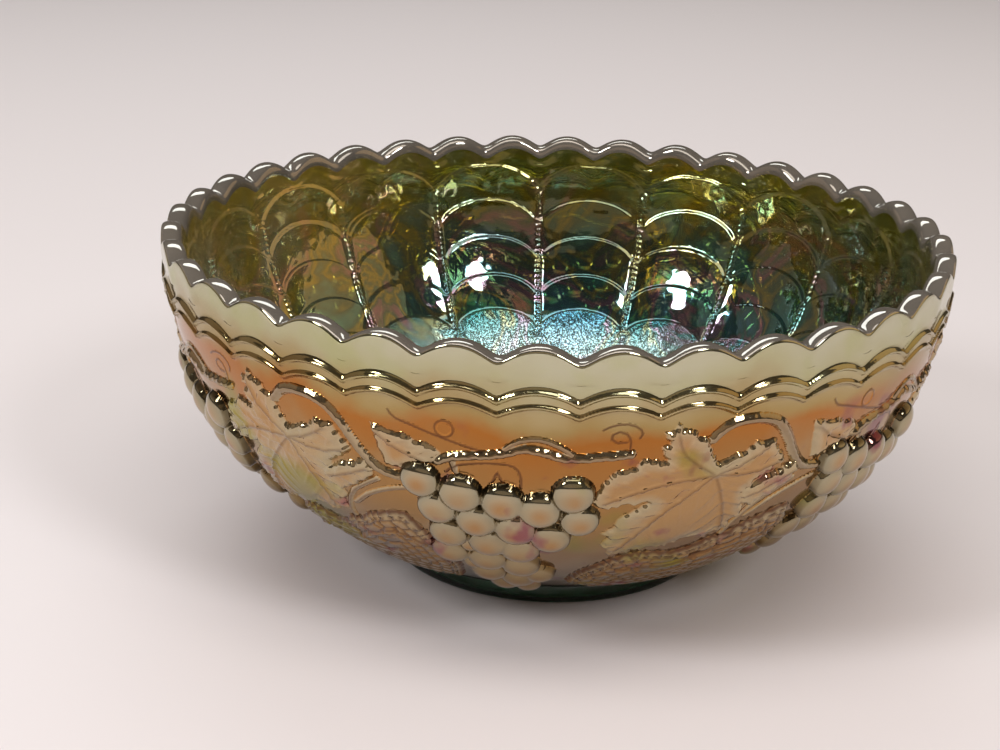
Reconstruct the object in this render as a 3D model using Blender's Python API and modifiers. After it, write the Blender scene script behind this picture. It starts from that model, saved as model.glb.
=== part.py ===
"""A pressed-glass bowl with a scalloped rim, a collar foot and grapevine relief.

Run with: blender --background --python part.py
Metres, +Z up. The origin is the centre of the foot's underside.

The bowl is pressed in one mould. It is modelled as its moulded regions: the wall with its rim, the
collar foot, and on the outside six repeats of a cluster, a leaf, a vine, a stem and a lower leaf.
Neighbouring regions keep a gap of GAP. An angle of 0 points along -Y and grows towards +X.
"""

from math import cos, hypot, pi, radians, sin, tau

import bmesh
import bpy
from mathutils import Matrix, Vector

MM = 0.001

# Driving dimensions
HEIGHT = 97.6 * MM
RIM_RADIUS = 111.4 * MM
FOOT_RADIUS = 47.6 * MM
FOOT_INNER_RADIUS = 40.0 * MM
FOOT_HEIGHT = 5.7 * MM
FOOT_ROUNDING = 0.8 * MM
FOOT_STEPS = 60
GAP = 0.35 * MM

# The outer wall, from the foot to just under the rim: height and radius in millimetres.
# Above 78.5 it stands out as a moulded band.
OUTER_WALL = [(6.2, 47.6), (7.0, 53.0), (12.0, 61.5), (20.0, 71.5), (30.0, 84.0), (42.0, 94.5),
              (56.0, 102.5), (70.0, 107.0), (78.5, 108.8), (80.0, 110.6), (88.5, 111.2),
              (94.0, 111.4)]
# The inner wall, from the floor to just under the rim
INNER_WALL = [(8.0, 46.0), (10.0, 53.5), (22.0, 69.0), (40.0, 86.5), (62.0, 98.5), (84.0, 104.4),
              (94.0, 105.6)]
FLOOR_TOP = 7.6 * MM
FLOOR_UNDERSIDE = 3.0 * MM
FLOOR_RECESS_RADIUS = FOOT_INNER_RADIUS - GAP

# The rim: convex scallops that meet in sharp valleys
SCALLOPS = 36
STEPS_PER_SCALLOP = 3
VALLEY_TURN = radians(3.55)
VALLEY_DEPTH = 4.2 * MM
SCALLOP_START = 86.0 * MM
LIP_HEIGHT = 3.6 * MM
LIP_THICKNESS = 5.8 * MM
LIP_SHAPE = [(0.78, 0.64), (0.5, 1.0), (0.22, 0.64)]

# The relief: lists of (angle in degrees, height in millimetres) on the first of six repeats
REPEATS = 6
PAD_THICKNESS = 0.9 * MM
GRAPE_LIFT = 0.2 * MM
GRAPE_SIDES = 8
GRAPE_RINGS = 4
# Each grape also has its radius in millimetres
GRAPES = [(-17.0, 60.0, 4.8), (-11.6, 57.2, 5.0), (-5.9, 55.7, 5.0), (-0.9, 53.8, 5.0),
          (3.2, 59.0, 4.7), (4.6, 50.8, 4.7), (-15.2, 51.8, 4.8), (-9.8, 48.9, 5.0),
          (-4.3, 46.9, 5.0), (0.7, 44.3, 4.9), (-14.4, 43.2, 4.9), (-8.5, 41.2, 5.0),
          (-3.9, 39.0, 5.0), (-15.4, 35.3, 4.8), (-9.4, 33.6, 5.0), (-4.1, 31.2, 4.9),
          (-10.2, 26.6, 4.7), (-4.9, 24.0, 4.7), (-0.9, 26.0, 4.0), (-7.9, 20.4, 4.2),
          (-3.5, 18.2, 3.6)]
CLUSTER_PAD = [(-18, 62), (-6, 58.5), (3.4, 61), (6, 52), (2, 42), (1, 26), (-3, 16.5), (-9, 18.5),
               (-12.5, 24), (-17.5, 34), (-17.5, 46)]

LEAF_THICKNESS = 1.5 * MM
LEAF_JUNCTION = (22.3, 63)
LEAF_TIPS = [(15.9, 77), (8.4, 57.2), (10.6, 38.5), (27.3, 43.5), (28.2, 59), (28.0, 68)]
LEAF_OUTLINE = [(8.7, 65.2), (11.6, 68.6), (15.3, 67.9), (14.1, 72.8), (15.9, 78.2), (20.2, 73.9),
                (22.6, 66.4), (28.6, 70.2), (30.5, 66.8), (29.3, 61.6), (27.6, 57.2), (29.6, 50),
                (28.4, 42.5), (24.4, 40.2), (18.2, 39.6), (10.2, 36.4), (8.2, 43.2), (13.6, 54.6),
                (8.3, 54.8)]
VEIN_WIDTH = 1.2 * MM
VEIN_THICKNESS = 2.1 * MM

LOWER_LEAF_OUTLINE = [(4.2, 21.5), (5.5, 15.5), (14, 12.5), (28, 12.5), (38, 16.5), (39, 24),
                      (40, 31), (38.6, 44), (34.7, 45.4), (30.2, 41.6), (24.4, 36.2), (14.3, 34.9),
                      (8.6, 29)]

VINE_RADIUS = 1.3 * MM
VINE_PATH = [(38.2, 58.9), (35.6, 60), (34.2, 62.4), (32.6, 66), (31.8, 69.5), (30.2, 73.2),
             (28, 75.8), (25.6, 76.7), (23.8, 75.4), (22.4, 73.8)]
STEM_RADIUS = 1.2 * MM
STEM_PATH = [(-14, 66.3), (-12.2, 67.4), (-9, 68.5), (-5.5, 69.9), (-2, 71), (1, 70), (4, 69.2),
             (7, 69.6), (10, 70.2)]

# Relief is shaped on the unrolled wall, in arc length at this radius, and then wrapped round it
UNROLL_RADIUS = 100 * MM
SLICE_ANGLES = [radians(step * 5) for step in range(-5, 10)]
SLICE_HEIGHTS = [height * MM for height, _ in OUTER_WALL]

LUSTRE_COLOUR = (0.52, 0.40, 0.25, 1)
WALL_COLOUR = (0.28, 0.30, 0.10, 1)
FOOT_COLOUR = (0.02, 0.12, 0.07, 1)


def clear_scene():
    for obj in list(bpy.data.objects):
        bpy.data.objects.remove(obj, do_unlink=True)


def new_collection(name):
    collection = bpy.data.collections.new(name)
    bpy.context.scene.collection.children.link(collection)
    return collection


def glass(name, colour, roughness, metallic):
    material = bpy.data.materials.new(name)
    material.use_nodes = True
    shader = material.node_tree.nodes["Principled BSDF"]
    shader.inputs["Base Color"].default_value = colour
    shader.inputs["Roughness"].default_value = roughness
    shader.inputs["Metallic"].default_value = metallic
    return material


def add_object(name, mesh, collection, material=None):
    obj = bpy.data.objects.new(name, mesh)
    collection.objects.link(obj)
    if material and not mesh.materials:
        mesh.materials.append(material)
    return obj


def mesh_of(bm, name):
    mesh = bpy.data.meshes.new(name)
    bm.to_mesh(mesh)
    bm.free()
    return mesh


def baked_mesh(obj):
    """The object's evaluated mesh, with loose caps welded, in place of the object."""
    graph = bpy.context.evaluated_depsgraph_get()
    mesh = bpy.data.meshes.new_from_object(obj.evaluated_get(graph))
    bpy.data.objects.remove(obj, do_unlink=True)
    bm = bmesh.new()
    bm.from_mesh(mesh)
    bmesh.ops.remove_doubles(bm, verts=bm.verts, dist=0.00001)
    return bm


# The wall


def wall_point(height):
    """The plain outer wall's radius at a height, and its outward normal as (radial, up)."""
    profile = [(z * MM, r * MM) for z, r in OUTER_WALL]
    for (z0, r0), (z1, r1) in zip(profile, profile[1:]):
        if height <= z1 or z1 == profile[-1][0]:
            length = hypot(z1 - z0, r1 - r0)
            radius = r0 + (r1 - r0) * (height - z0) / (z1 - z0)
            return radius, (z1 - z0) / length, (r0 - r1) / length


def body_profile():
    """From the floor's centre up the inside, over the rim and down the outside to the axis."""
    points = [(0, FLOOR_TOP)]
    points += [(r * MM, z * MM) for z, r in INNER_WALL]
    points += [(RIM_RADIUS - inward * LIP_THICKNESS, HEIGHT - LIP_HEIGHT * (1 - up))
               for inward, up in LIP_SHAPE]
    points += [(r * MM, z * MM) for z, r in reversed(OUTER_WALL)]
    points += [(FLOOR_RECESS_RADIUS, OUTER_WALL[0][0] * MM), (FLOOR_RECESS_RADIUS, FLOOR_UNDERSIDE)]
    points += [(0, FLOOR_UNDERSIDE)]
    return points


def scallop_drop(angle):
    """How far the rim lies below its peaks at an angle: 1 in a valley, 0 over the scallop."""
    phase = (angle - VALLEY_TURN) / tau * SCALLOPS
    to_valley = abs(phase - round(phase))
    return max(0.0, 1 - to_valley * STEPS_PER_SCALLOP)


def make_wall(collection, material):
    bm = bmesh.new()
    start = Matrix.Rotation(VALLEY_TURN - pi / 2, 4, "Z")
    verts = [bm.verts.new(start @ Vector((r, 0, z))) for r, z in body_profile()]
    edges = [bm.edges.new(pair) for pair in zip(verts, verts[1:])]
    steps = SCALLOPS * STEPS_PER_SCALLOP
    bmesh.ops.spin(bm, geom=verts + edges, axis=(0, 0, 1), cent=(0, 0, 0), angle=tau, steps=steps,
                   use_merge=True)
    bmesh.ops.remove_doubles(bm, verts=bm.verts, dist=0.00001)
    for vert in bm.verts:
        share = (vert.co.z - SCALLOP_START) / (HEIGHT - LIP_HEIGHT - SCALLOP_START)
        angle = Vector((1, 0)).angle_signed(Vector((vert.co.x, -vert.co.y)), 0) + pi / 2
        vert.co.z -= VALLEY_DEPTH * scallop_drop(angle) * min(1.0, max(0.0, share))
    bmesh.ops.recalc_face_normals(bm, faces=bm.faces)
    mesh = mesh_of(bm, "bowl_wall")
    mesh.shade_smooth()
    mesh.set_sharp_from_angle(angle=radians(35))
    return add_object("bowl_wall", mesh, collection, material)


def make_foot(collection, material):
    """A turned collar, flat underneath, with its edges rounded."""
    corners = [(FOOT_INNER_RADIUS, FOOT_HEIGHT), (FOOT_RADIUS - 0.4 * MM, FOOT_HEIGHT),
               (FOOT_RADIUS, 0), (FOOT_INNER_RADIUS, 0)]
    mesh = bpy.data.meshes.new("foot_ring")
    edges = [(i, (i + 1) % len(corners)) for i in range(len(corners))]
    mesh.from_pydata([(r, 0, z) for r, z in corners], edges, [])
    foot = add_object("foot_ring", mesh, collection, material)
    screw = foot.modifiers.new("turn", "SCREW")
    screw.steps = screw.render_steps = FOOT_STEPS
    screw.use_merge_vertices = True
    screw.merge_threshold = 0.00001
    bevel = foot.modifiers.new("rounding", "BEVEL")
    bevel.width = FOOT_ROUNDING
    bevel.segments = 1
    bevel.angle_limit = radians(40)
    return foot


# The relief, shaped flat and then wrapped round the wall


def flat(point, lift=0.0):
    """(angle in degrees, height in millimetres) on the unrolled wall."""
    angle, height = point
    return Vector((radians(angle) * UNROLL_RADIUS, height * MM, lift))


def slice_along_wall(bm):
    """Adds edges where the wall turns, so that long faces follow it once wrapped."""
    cuts = [((angle * UNROLL_RADIUS, 0, 0), (1, 0, 0)) for angle in SLICE_ANGLES]
    cuts += [((0, height, 0), (0, 1, 0)) for height in SLICE_HEIGHTS]
    for place, normal in cuts:
        geom = bm.verts[:] + bm.edges[:] + bm.faces[:]
        bmesh.ops.bisect_plane(bm, geom=geom, dist=0.000001, plane_co=place, plane_no=normal)


def wrap(bm):
    """Moves each vertex from the unrolled wall to the round one, GAP outside it."""
    for vert in bm.verts:
        angle = vert.co.x / UNROLL_RADIUS
        radius, radial, up = wall_point(vert.co.y)
        lift = vert.co.z + GAP
        out = radius + lift * radial
        vert.co = Vector((out * sin(angle), -out * cos(angle), vert.co.y + lift * up))


def pad(outline, thickness, collection):
    """A flat pad with the outline of a piece of relief."""
    curve = bpy.data.curves.new("pad", "CURVE")
    curve.dimensions = "2D"
    curve.fill_mode = "BOTH"
    curve.extrude = thickness / 2
    spline = curve.splines.new("POLY")
    spline.points.add(len(outline) - 1)
    for point, place in zip(spline.points, outline):
        point.co = (*flat(place)[:2], 0, 1)
    spline.use_cyclic_u = True
    bm = baked_mesh(add_object("pad", curve, collection))
    bmesh.ops.dissolve_limit(bm, angle_limit=0.01, verts=bm.verts, edges=bm.edges)
    bmesh.ops.translate(bm, vec=(0, 0, thickness / 2), verts=bm.verts)
    slice_along_wall(bm)
    return add_object("pad", mesh_of(bm, "pad"), collection)


def grape(place, collection):
    """The outer part of a ball, round once it is wrapped on the wall."""
    wall_radius, radial, _ = wall_point(place[1] * MM)
    size = Vector((UNROLL_RADIUS / wall_radius, radial, 1)) * place[2] * MM
    bm = bmesh.new()
    bmesh.ops.create_uvsphere(bm, u_segments=GRAPE_SIDES, v_segments=GRAPE_RINGS, radius=1)
    bmesh.ops.scale(bm, vec=size, verts=bm.verts)
    bmesh.ops.translate(bm, vec=flat(place[:2], GRAPE_LIFT), verts=bm.verts)
    geom = bm.verts[:] + bm.edges[:] + bm.faces[:]
    cut = bmesh.ops.bisect_plane(bm, geom=geom, plane_co=(0, 0, PAD_THICKNESS / 2),
                                 plane_no=(0, 0, 1), clear_inner=True)
    rim = [item for item in cut["geom_cut"] if isinstance(item, bmesh.types.BMEdge)]
    bmesh.ops.holes_fill(bm, edges=rim)
    bmesh.ops.recalc_face_normals(bm, faces=bm.faces)
    return add_object("grape", mesh_of(bm, "grape"), collection)


def vein(tip, collection):
    """A low straight ridge from the leaf's junction almost to a lobe's tip."""
    start, end = flat(LEAF_JUNCTION), flat(tip)
    along = end - start
    turn = Vector((1, 0)).angle_signed(along.xy) * -1
    bm = bmesh.new()
    bmesh.ops.create_cube(bm, size=1)
    size = (along.length * 0.86, VEIN_WIDTH, VEIN_THICKNESS - LEAF_THICKNESS / 2)
    bmesh.ops.scale(bm, vec=size, verts=bm.verts)
    bmesh.ops.rotate(bm, matrix=Matrix.Rotation(turn, 3, "Z"), verts=bm.verts)
    lift = LEAF_THICKNESS / 2 + size[2] / 2
    bmesh.ops.translate(bm, vec=start + along * 0.44 + Vector((0, 0, lift)), verts=bm.verts)
    slice_along_wall(bm)
    return add_object("vein", mesh_of(bm, "vein"), collection)


def joined(base, additions):
    """One closed mesh from a pad and the solids that stand on it."""
    for addition in additions:
        union = base.modifiers.new("join", "BOOLEAN")
        union.operation = "UNION"
        union.object = addition
    bm = baked_mesh(base)
    for addition in additions:
        bpy.data.objects.remove(addition, do_unlink=True)
    return bm


def tube(path, radius, collection):
    """A round strand laid along a path, half of it standing out past its own radius."""
    curve = bpy.data.curves.new("tube", "CURVE")
    curve.dimensions = "3D"
    curve.bevel_depth = radius
    curve.bevel_resolution = 1
    curve.use_fill_caps = True
    spline = curve.splines.new("POLY")
    spline.points.add(len(path) - 1)
    for point, place in zip(spline.points, path):
        point.co = (*flat(place, radius), 1)
    return baked_mesh(add_object("tube", curve, collection))


def repeat_round(bm, name, collection, material):
    """Wraps a piece of relief and sets it round the bowl, once in each sector."""
    wrap(bm)
    mesh = mesh_of(bm, name)
    mesh.shade_smooth()
    mesh.set_sharp_from_angle(angle=radians(40))
    for index in range(REPEATS):
        copy = add_object(f"{name}_{index + 1}", mesh, collection, material)
        copy.rotation_euler.z = index * tau / REPEATS


def make_relief(collection, work, material):
    cluster = joined(pad(CLUSTER_PAD, PAD_THICKNESS, work), [grape(p, work) for p in GRAPES])
    repeat_round(cluster, "grape_cluster", collection, material)
    leaf = joined(pad(LEAF_OUTLINE, LEAF_THICKNESS, work), [vein(tip, work) for tip in LEAF_TIPS])
    repeat_round(leaf, "grape_leaf", collection, material)
    lower_leaf = joined(pad(LOWER_LEAF_OUTLINE, PAD_THICKNESS, work), [])
    repeat_round(lower_leaf, "lower_leaf", collection, material)
    repeat_round(tube(VINE_PATH, VINE_RADIUS, work), "vine", collection, material)
    repeat_round(tube(STEM_PATH, STEM_RADIUS, work), "stem", collection, material)


def main():
    clear_scene()
    bowl = new_collection("glass_bowl")
    work = new_collection("construction")
    make_wall(bowl, glass("wall_glass", WALL_COLOUR, 0.12, 0.2))
    make_foot(bowl, glass("foot_glass", FOOT_COLOUR, 0.08, 0.0))
    make_relief(bowl, work, glass("lustre_glass", LUSTRE_COLOUR, 0.25, 0.6))
    bpy.data.collections.remove(work)


main()
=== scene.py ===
from math import pi, radians

import bmesh
import bpy
import numpy as np
from mathutils import Matrix, Vector


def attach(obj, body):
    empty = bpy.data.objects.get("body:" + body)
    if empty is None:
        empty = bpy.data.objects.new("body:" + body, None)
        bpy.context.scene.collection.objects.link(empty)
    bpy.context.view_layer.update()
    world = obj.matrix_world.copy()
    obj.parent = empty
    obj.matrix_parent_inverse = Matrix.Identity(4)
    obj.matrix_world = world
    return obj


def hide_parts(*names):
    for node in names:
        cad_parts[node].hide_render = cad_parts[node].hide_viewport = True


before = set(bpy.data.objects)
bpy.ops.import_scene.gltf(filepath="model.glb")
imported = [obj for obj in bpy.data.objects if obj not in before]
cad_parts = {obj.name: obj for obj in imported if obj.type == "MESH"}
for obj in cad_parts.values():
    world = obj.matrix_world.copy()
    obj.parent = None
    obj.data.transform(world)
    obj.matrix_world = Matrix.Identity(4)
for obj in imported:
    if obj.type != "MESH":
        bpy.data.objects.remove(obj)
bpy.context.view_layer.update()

# Lengths below are millimetres and angles are degrees, unless a name says otherwise.
# An angle of 0 points along -Y and grows towards +X.
MM = 0.001
TINY = 1e-9

# The outside pattern repeats in equal sectors
SECTORS = 6
SECTOR_ANGLE = 360 / SECTORS

# The mesh grids: columns in one sector, and the distance between rows
BODY_COLUMNS = 144
OUTER_STEP = 0.7
INNER_STEP = 0.46
BAND_STEP = 0.25
LIP_STEP = 0.35
UNDERSIDE_STEP = 1.6
RELIEF_COLUMNS = 288
RELIEF_STEP = 0.36
CURVE_SAMPLES = 24

# The lustre films over the relief: how high up the wall they may reach, how far they stand
# out of the relief, how deep their edges dip and from which lift, and the least lift covered
RELIEF_TOP = 80.5
RELIEF_PROUD = 0.03
EDGE_DIP = 0.1
EDGE_START = 0.13
LEAST_LIFT = 0.005

# The glass under a film has this share of the relief's lift, less the sink, so that it
# stays below the film. The film's back lies a little inside that glass.
GLASS_SHARE = 0.6
RELIEF_SINK = 0.5
RELIEF_BACK = 0.2

# The wall's section as (radius, height), from the foot to just under the rim
OUTER_WALL = [(47.3, 6.1), (48.2, 6.6), (53.0, 8.2), (61.5, 13.0), (71.5, 20.3), (84.0, 31.0),
              (94.5, 42.6), (102.2, 56.0), (107.0, 70.0), (109.6, 82.0), (110.9, 93.6),
              (111.1, 95.9)]
INNER_WALL = [(2.0, 7.6), (20.0, 7.6), (40.0, 8.2), (49.0, 10.2), (58.0, 15.0), (69.0, 24.0),
              (80.0, 35.0), (90.5, 49.0), (98.0, 63.0), (102.6, 76.0), (105.0, 93.6)]
UNDERSIDE = [(47.2, 6.0), (39.9, 5.9), (39.2, 3.6), (37.5, 3.1), (2.0, 3.0)]
LIP = [(111.1, 95.9), (111.0, 96.7), (110.5, 97.25), (109.4, 97.55), (107.9, 97.55),
       (106.6, 97.25), (105.7, 96.5), (105.2, 95.3), (105.0, 93.6)]
# Beyond this radius the lip carries the outside lustre
LIP_FILM_START = 110.85

# The scalloped rim. It is let down in full above one height and not at all below another.
# The rounding of the valleys takes some of their depth away.
SCALLOPS = 36
VALLEY_ANGLE = 3.55
VALLEY_DEPTH = 4.8
VALLEY_ROUNDING = 0.16
SCALLOP_START = 87.5
SCALLOP_FULL = 93.0

# The moulded band: the heights of each line at a scallop's peak and at its valley
BAND_TOP = (88.4, 85.3)
BAND_RIDGES = [(86.6, 83.5), (83.0, 80.2)]
BAND_BOTTOM = (81.2, 78.7)
BAND_LIFT = 0.35
RIDGE_LIFT = 0.85
RIDGE_HALF_WIDTH = 0.75
RIDGE_ROUNDING = 1.4
# How far below the band's top, and above its bottom, the step reaches its full lift
BAND_EASE = (1.2, 1.0)
# Slight waves in the ridges as (share, waves round the bowl, phase in radians)
BAND_WAVES = [(0.07, 42, 0), (0.06, 78, 1)]


# Building blocks for shapes on the wall


def path_run(points):
    """The distance run along a path at each of its points."""
    return np.concatenate([[0], np.cumsum(np.hypot(*np.diff(points, axis=0).T))])


def smooth_path(points, spacing):
    """Points an even distance apart on a Catmull-Rom curve through the given ones."""
    p = np.array(points, float)
    p = np.vstack([2 * p[0] - p[1], p, 2 * p[-1] - p[-2]])
    t = np.linspace(0, 1, CURVE_SAMPLES, endpoint=False)[:, None]
    pieces = []
    for a, b, c, d in zip(p, p[1:], p[2:], p[3:]):
        pieces.append(0.5 * (2 * b + (c - a) * t + (2 * a - 5 * b + 4 * c - d) * t**2
                             + (3 * b - a - 3 * c + d) * t**3))
    fine = np.vstack([*pieces, p[-2:-1]])
    run = path_run(fine)
    even = np.linspace(0, run[-1], max(2, round(run[-1] / spacing) + 1))
    return np.stack([np.interp(even, run, column) for column in fine.T], axis=1)


def smoothstep(low, high, value):
    """0 at low and 1 at high, eased at both ends. Low may be the larger of the two."""
    t = np.clip((value - low) / (high - low), 0, 1)
    return t * t * (3 - 2 * t)


def hump(distance, width):
    """1 at a distance of 0, falling away smoothly to both sides."""
    return np.exp(-(distance / width)**2)


def from_nearest_valley(angle, repeats):
    """How far an angle is from its nearest valley, as a share of a repeat, -0.5 to 0.5."""
    phase = (angle - VALLEY_ANGLE) * repeats / 360
    return phase - np.round(phase)


def valley_share(angle):
    """0 on a scallop's peak and 1 in the valleys beside it."""
    return 1 - 2 * np.abs(from_nearest_valley(angle, SCALLOPS))


def rim_drop(angle):
    """How far the rim is let down. Its valleys are rounder than the band's."""
    rounded = np.sqrt((2 * from_nearest_valley(angle, SCALLOPS))**2 + VALLEY_ROUNDING**2)
    return VALLEY_DEPTH * (1 - rounded)**2


def scallop_line(peak_and_valley, angle):
    """The height of a line that follows the scallops."""
    peak, valley = peak_and_valley
    return peak - (peak - valley) * valley_share(angle)**2


class Wall:
    """A grid on one side of the wall: columns are angles and rows run along the section."""

    def __init__(self, section, angles):
        self.angle = np.asarray(angles)[None, :]
        self.radius = section[:, 0:1]
        self.height = section[:, 1:2]
        self.arc = path_run(section)[:, None]

    def blank(self):
        """A zero for each grid point."""
        return np.zeros(np.broadcast_shapes(self.angle.shape, self.height.shape))

    def arc_at(self, height):
        """The distance along the section at a height."""
        order = np.argsort(self.height[:, 0])
        return np.interp(height, self.height[order, 0], self.arc[order, 0])

    def turn_from(self, angle):
        """How far round each column lies from an angle in its nearest repeat."""
        return (self.angle - angle + SECTOR_ANGLE / 2) % SECTOR_ANGLE - SECTOR_ANGLE / 2

    def offset(self, angle, height):
        """Each grid point's distance from a place, round the wall and up it."""
        across = np.radians(self.turn_from(angle)) * self.radius
        sign = 1 if self.height[-1] > self.height[0] else -1
        return across, np.broadcast_to((self.arc - self.arc_at(height)) * sign, across.shape)

    def path_distance(self, points):
        """The distance to a path, and how far along it the nearest point lies."""
        best = along_best = None
        run = 0.0
        for (a0, h0), (a1, h1) in zip(points, points[1:]):
            x, y = self.offset(a0, h0)
            dx = np.radians(a1 - a0) * self.radius
            dy = abs(self.arc_at(h1) - self.arc_at(h0)) * (1 if h1 > h0 else -1)
            size = dx * dx + dy * dy + TINY
            t = np.clip((x * dx + y * dy) / size, 0, 1)
            distance = np.hypot(x - t * dx, y - t * dy)
            along = run + t * np.sqrt(size)
            if best is None:
                best, along_best = distance, along
            else:
                nearer = distance < best
                best = np.where(nearer, distance, best)
                along_best = np.where(nearer, along, along_best)
            run += float(np.sqrt(size).mean())
        return best, along_best

    def outline_distance(self, points):
        """The distance inside a closed outline (negative outside), and how far along it."""
        loop = list(points) + [points[0]]
        distance, along = self.path_distance(loop)
        middle = sum(a for a, _ in points) / len(points)
        turn = self.turn_from(middle)
        inside = np.zeros(distance.shape, bool)
        for (a0, h0), (a1, h1) in zip(loop, loop[1:]):
            spans = (h0 > self.height) != (h1 > self.height)
            rise = h1 - h0 if h1 != h0 else TINY
            crossing = a0 + (a1 - a0) * (self.height - h0) / rise - middle
            inside ^= spans & (turn < crossing)
        return np.where(inside, distance, -distance), along


# The outside relief, as (angle, height) on the first of six repeats, and for a grape its radius

GRAPES = [(-17.0, 60.0, 4.9), (-11.6, 57.2, 5.3), (-5.9, 55.7, 5.3), (-0.9, 53.8, 5.2),
          (3.4, 59.0, 5.1), (4.6, 50.8, 4.8), (-15.2, 51.8, 5.0), (-9.8, 48.9, 5.2),
          (-4.3, 46.9, 5.2), (0.7, 44.3, 5.0), (-14.4, 43.2, 5.0), (-8.5, 41.2, 5.2),
          (-3.9, 39.0, 5.1), (-15.4, 35.3, 4.9), (-9.4, 33.6, 5.1), (-4.1, 31.2, 5.0),
          (-10.2, 26.6, 4.8), (-4.9, 24.0, 4.8), (-0.9, 26.0, 4.0), (-7.9, 20.4, 4.3),
          (-3.5, 18.2, 3.6), (-11.9, 38.4, 2.4), (-12.6, 29.6, 2.6)]
# A dome's height on a grape of the usual radius, how far its lower edge is raised, how much
# larger than listed it is so that neighbours overlap, and where its edge fades in
GRAPE_LIFT = 3.0
GRAPE_USUAL_RADIUS = 5
GRAPE_TILT = 0.45
GRAPE_OVERLAP = 1.07
GRAPE_EDGE = (-0.02, 0.10)

LEAF = [(5.7, 56.2), (7.1, 61.5), (8.6, 65.4), (11.3, 66.4), (11.9, 69.0), (15.2, 67.9),
        (14.0, 71.8), (15.2, 72.7), (14.2, 75.8), (15.4, 76.6), (15.9, 78.6), (17.4, 76.4),
        (18.5, 76.3), (19.0, 74.5), (20.3, 73.8), (20.9, 71.8), (21.5, 69.2), (22.7, 65.9),
        (24.1, 67.6), (26.2, 68.4), (27.6, 70.8), (30.6, 70.6), (31.6, 67.6), (33.2, 64.6),
        (32.0, 62.0), (29.6, 59.4), (28.4, 56.4), (29.4, 53.6), (28.6, 51.6),
        (29.8, 48.0), (28.2, 45.6), (28.4, 42.2), (26.2, 42.6), (25.4, 40.0), (22.6, 41.6),
        (18.6, 38.2), (14.4, 38.2), (9.9, 35.2), (9.4, 38.2), (8.2, 40.4), (9.2, 42.8),
        (8.0, 44.8), (9.8, 47.4), (9.8, 50.0), (11.8, 52.6), (13.6, 55.2), (10.6, 54.6),
        (7.6, 53.2)]
LEAF_LIFT = 0.85
RIGHT_LOBE = [(26.8, 56.4), (29.6, 58.7), (30.8, 59.9), (33.0, 60.8), (35.0, 63.2), (36.4, 60.2),
              (35.4, 56.6), (32.6, 53.2), (29.4, 50.0), (27.6, 52.6)]
RIGHT_LOBE_LIFT = 1.25
RIGHT_LOBE_VEINS = [[(27.0, 54.0), (31.0, 56.8), (35.4, 60.4)]]
LEAF_VEINS = [[(22.3, 63.0), (16.1, 61.8), (11.7, 59.5), (7.6, 56.2)],
              [(22.3, 63.0), (18.4, 56.3), (15.4, 50.8), (10.6, 38.6)],
              [(22.3, 63.0), (24.0, 56.5), (25.6, 49.0), (26.4, 43.2)],
              [(22.3, 63.0), (19.2, 67.0), (17.2, 70.5), (15.9, 76.6)],
              [(22.3, 63.0), (26.0, 65.4), (29.4, 69.2)],
              [(22.3, 63.0), (27.6, 62.2), (32.6, 64.4)]]
SMALL_LEAF = [(-23.5, 73.8), (-21.8, 73.0), (-19.6, 71.9), (-18.7, 72.4), (-16.9, 70.4),
              (-15.7, 70.8), (-13.6, 67.8), (-15.0, 65.2), (-16.7, 63.5), (-19.4, 61.4),
              (-22.0, 61.6), (-22.9, 67.3)]
SMALL_LEAF_VEINS = [[(-23.0, 72.6), (-20.1, 68.4), (-15.6, 65.2)]]
SMALL_LEAF_LIFT = 0.75
LOWER_LEAF = [(4.4, 19.5), (6.0, 25.0), (8.4, 29.0), (11.8, 33.4), (14.6, 35.6), (18.6, 35.0),
              (21.4, 34.0), (24.4, 35.6), (26.4, 38.6), (29.4, 39.6), (31.6, 42.8), (34.2, 44.4),
              (36.8, 46.2), (39.2, 46.6), (40.4, 42.8), (41.6, 39.4), (43.0, 33.0), (44.0, 24.0),
              (42.0, 17.0), (28.0, 13.5), (14.0, 13.0)]
BLOCK_SIZE = (4.2, 3.0)
LOWER_LEAF_VEINS = [[(26.6, 31.2), (31.6, 35.6), (36.4, 38.6), (40.2, 34.8)],
                    [(8.7, 24.3), (13.0, 27.6), (18.1, 28.8), (22.0, 28.0), (26.6, 31.2)]]

VINE = [(39.9, 59.0), (37.6, 59.6), (35.8, 61.8), (34.0, 66.0), (32.2, 71.3), (30.3, 75.2),
        (28.0, 77.0), (25.2, 77.4), (22.8, 76.2), (21.0, 73.0)]
STEM = [(-14.4, 65.6), (-12.2, 67.4), (-9.0, 68.4), (-5.8, 69.5), (-3.4, 71.2), (-1.4, 71.0),
        (1.0, 69.6), (3.0, 69.0), (7.0, 69.6), (10.4, 70.2)]
STALKS = [[(-19.4, 63.4), (-16.8, 64.4), (-14.4, 65.6)], [(-12.4, 65.8), (-11.8, 61.4)],
          [(-19.7, 55.5), (-22.9, 53.6), (-26.3, 50.4), (-29.4, 46.0)],
          [(-23.8, 56.6), (-26.6, 53.4), (-29.0, 50.0), (-31.0, 44.4), (-31.6, 40.0)],
          [(-5.6, 70.6), (-4.2, 72.8), (-2.4, 74.0), (-0.4, 73.8), (1.4, 72.2), (3.2, 69.8)]]
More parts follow.
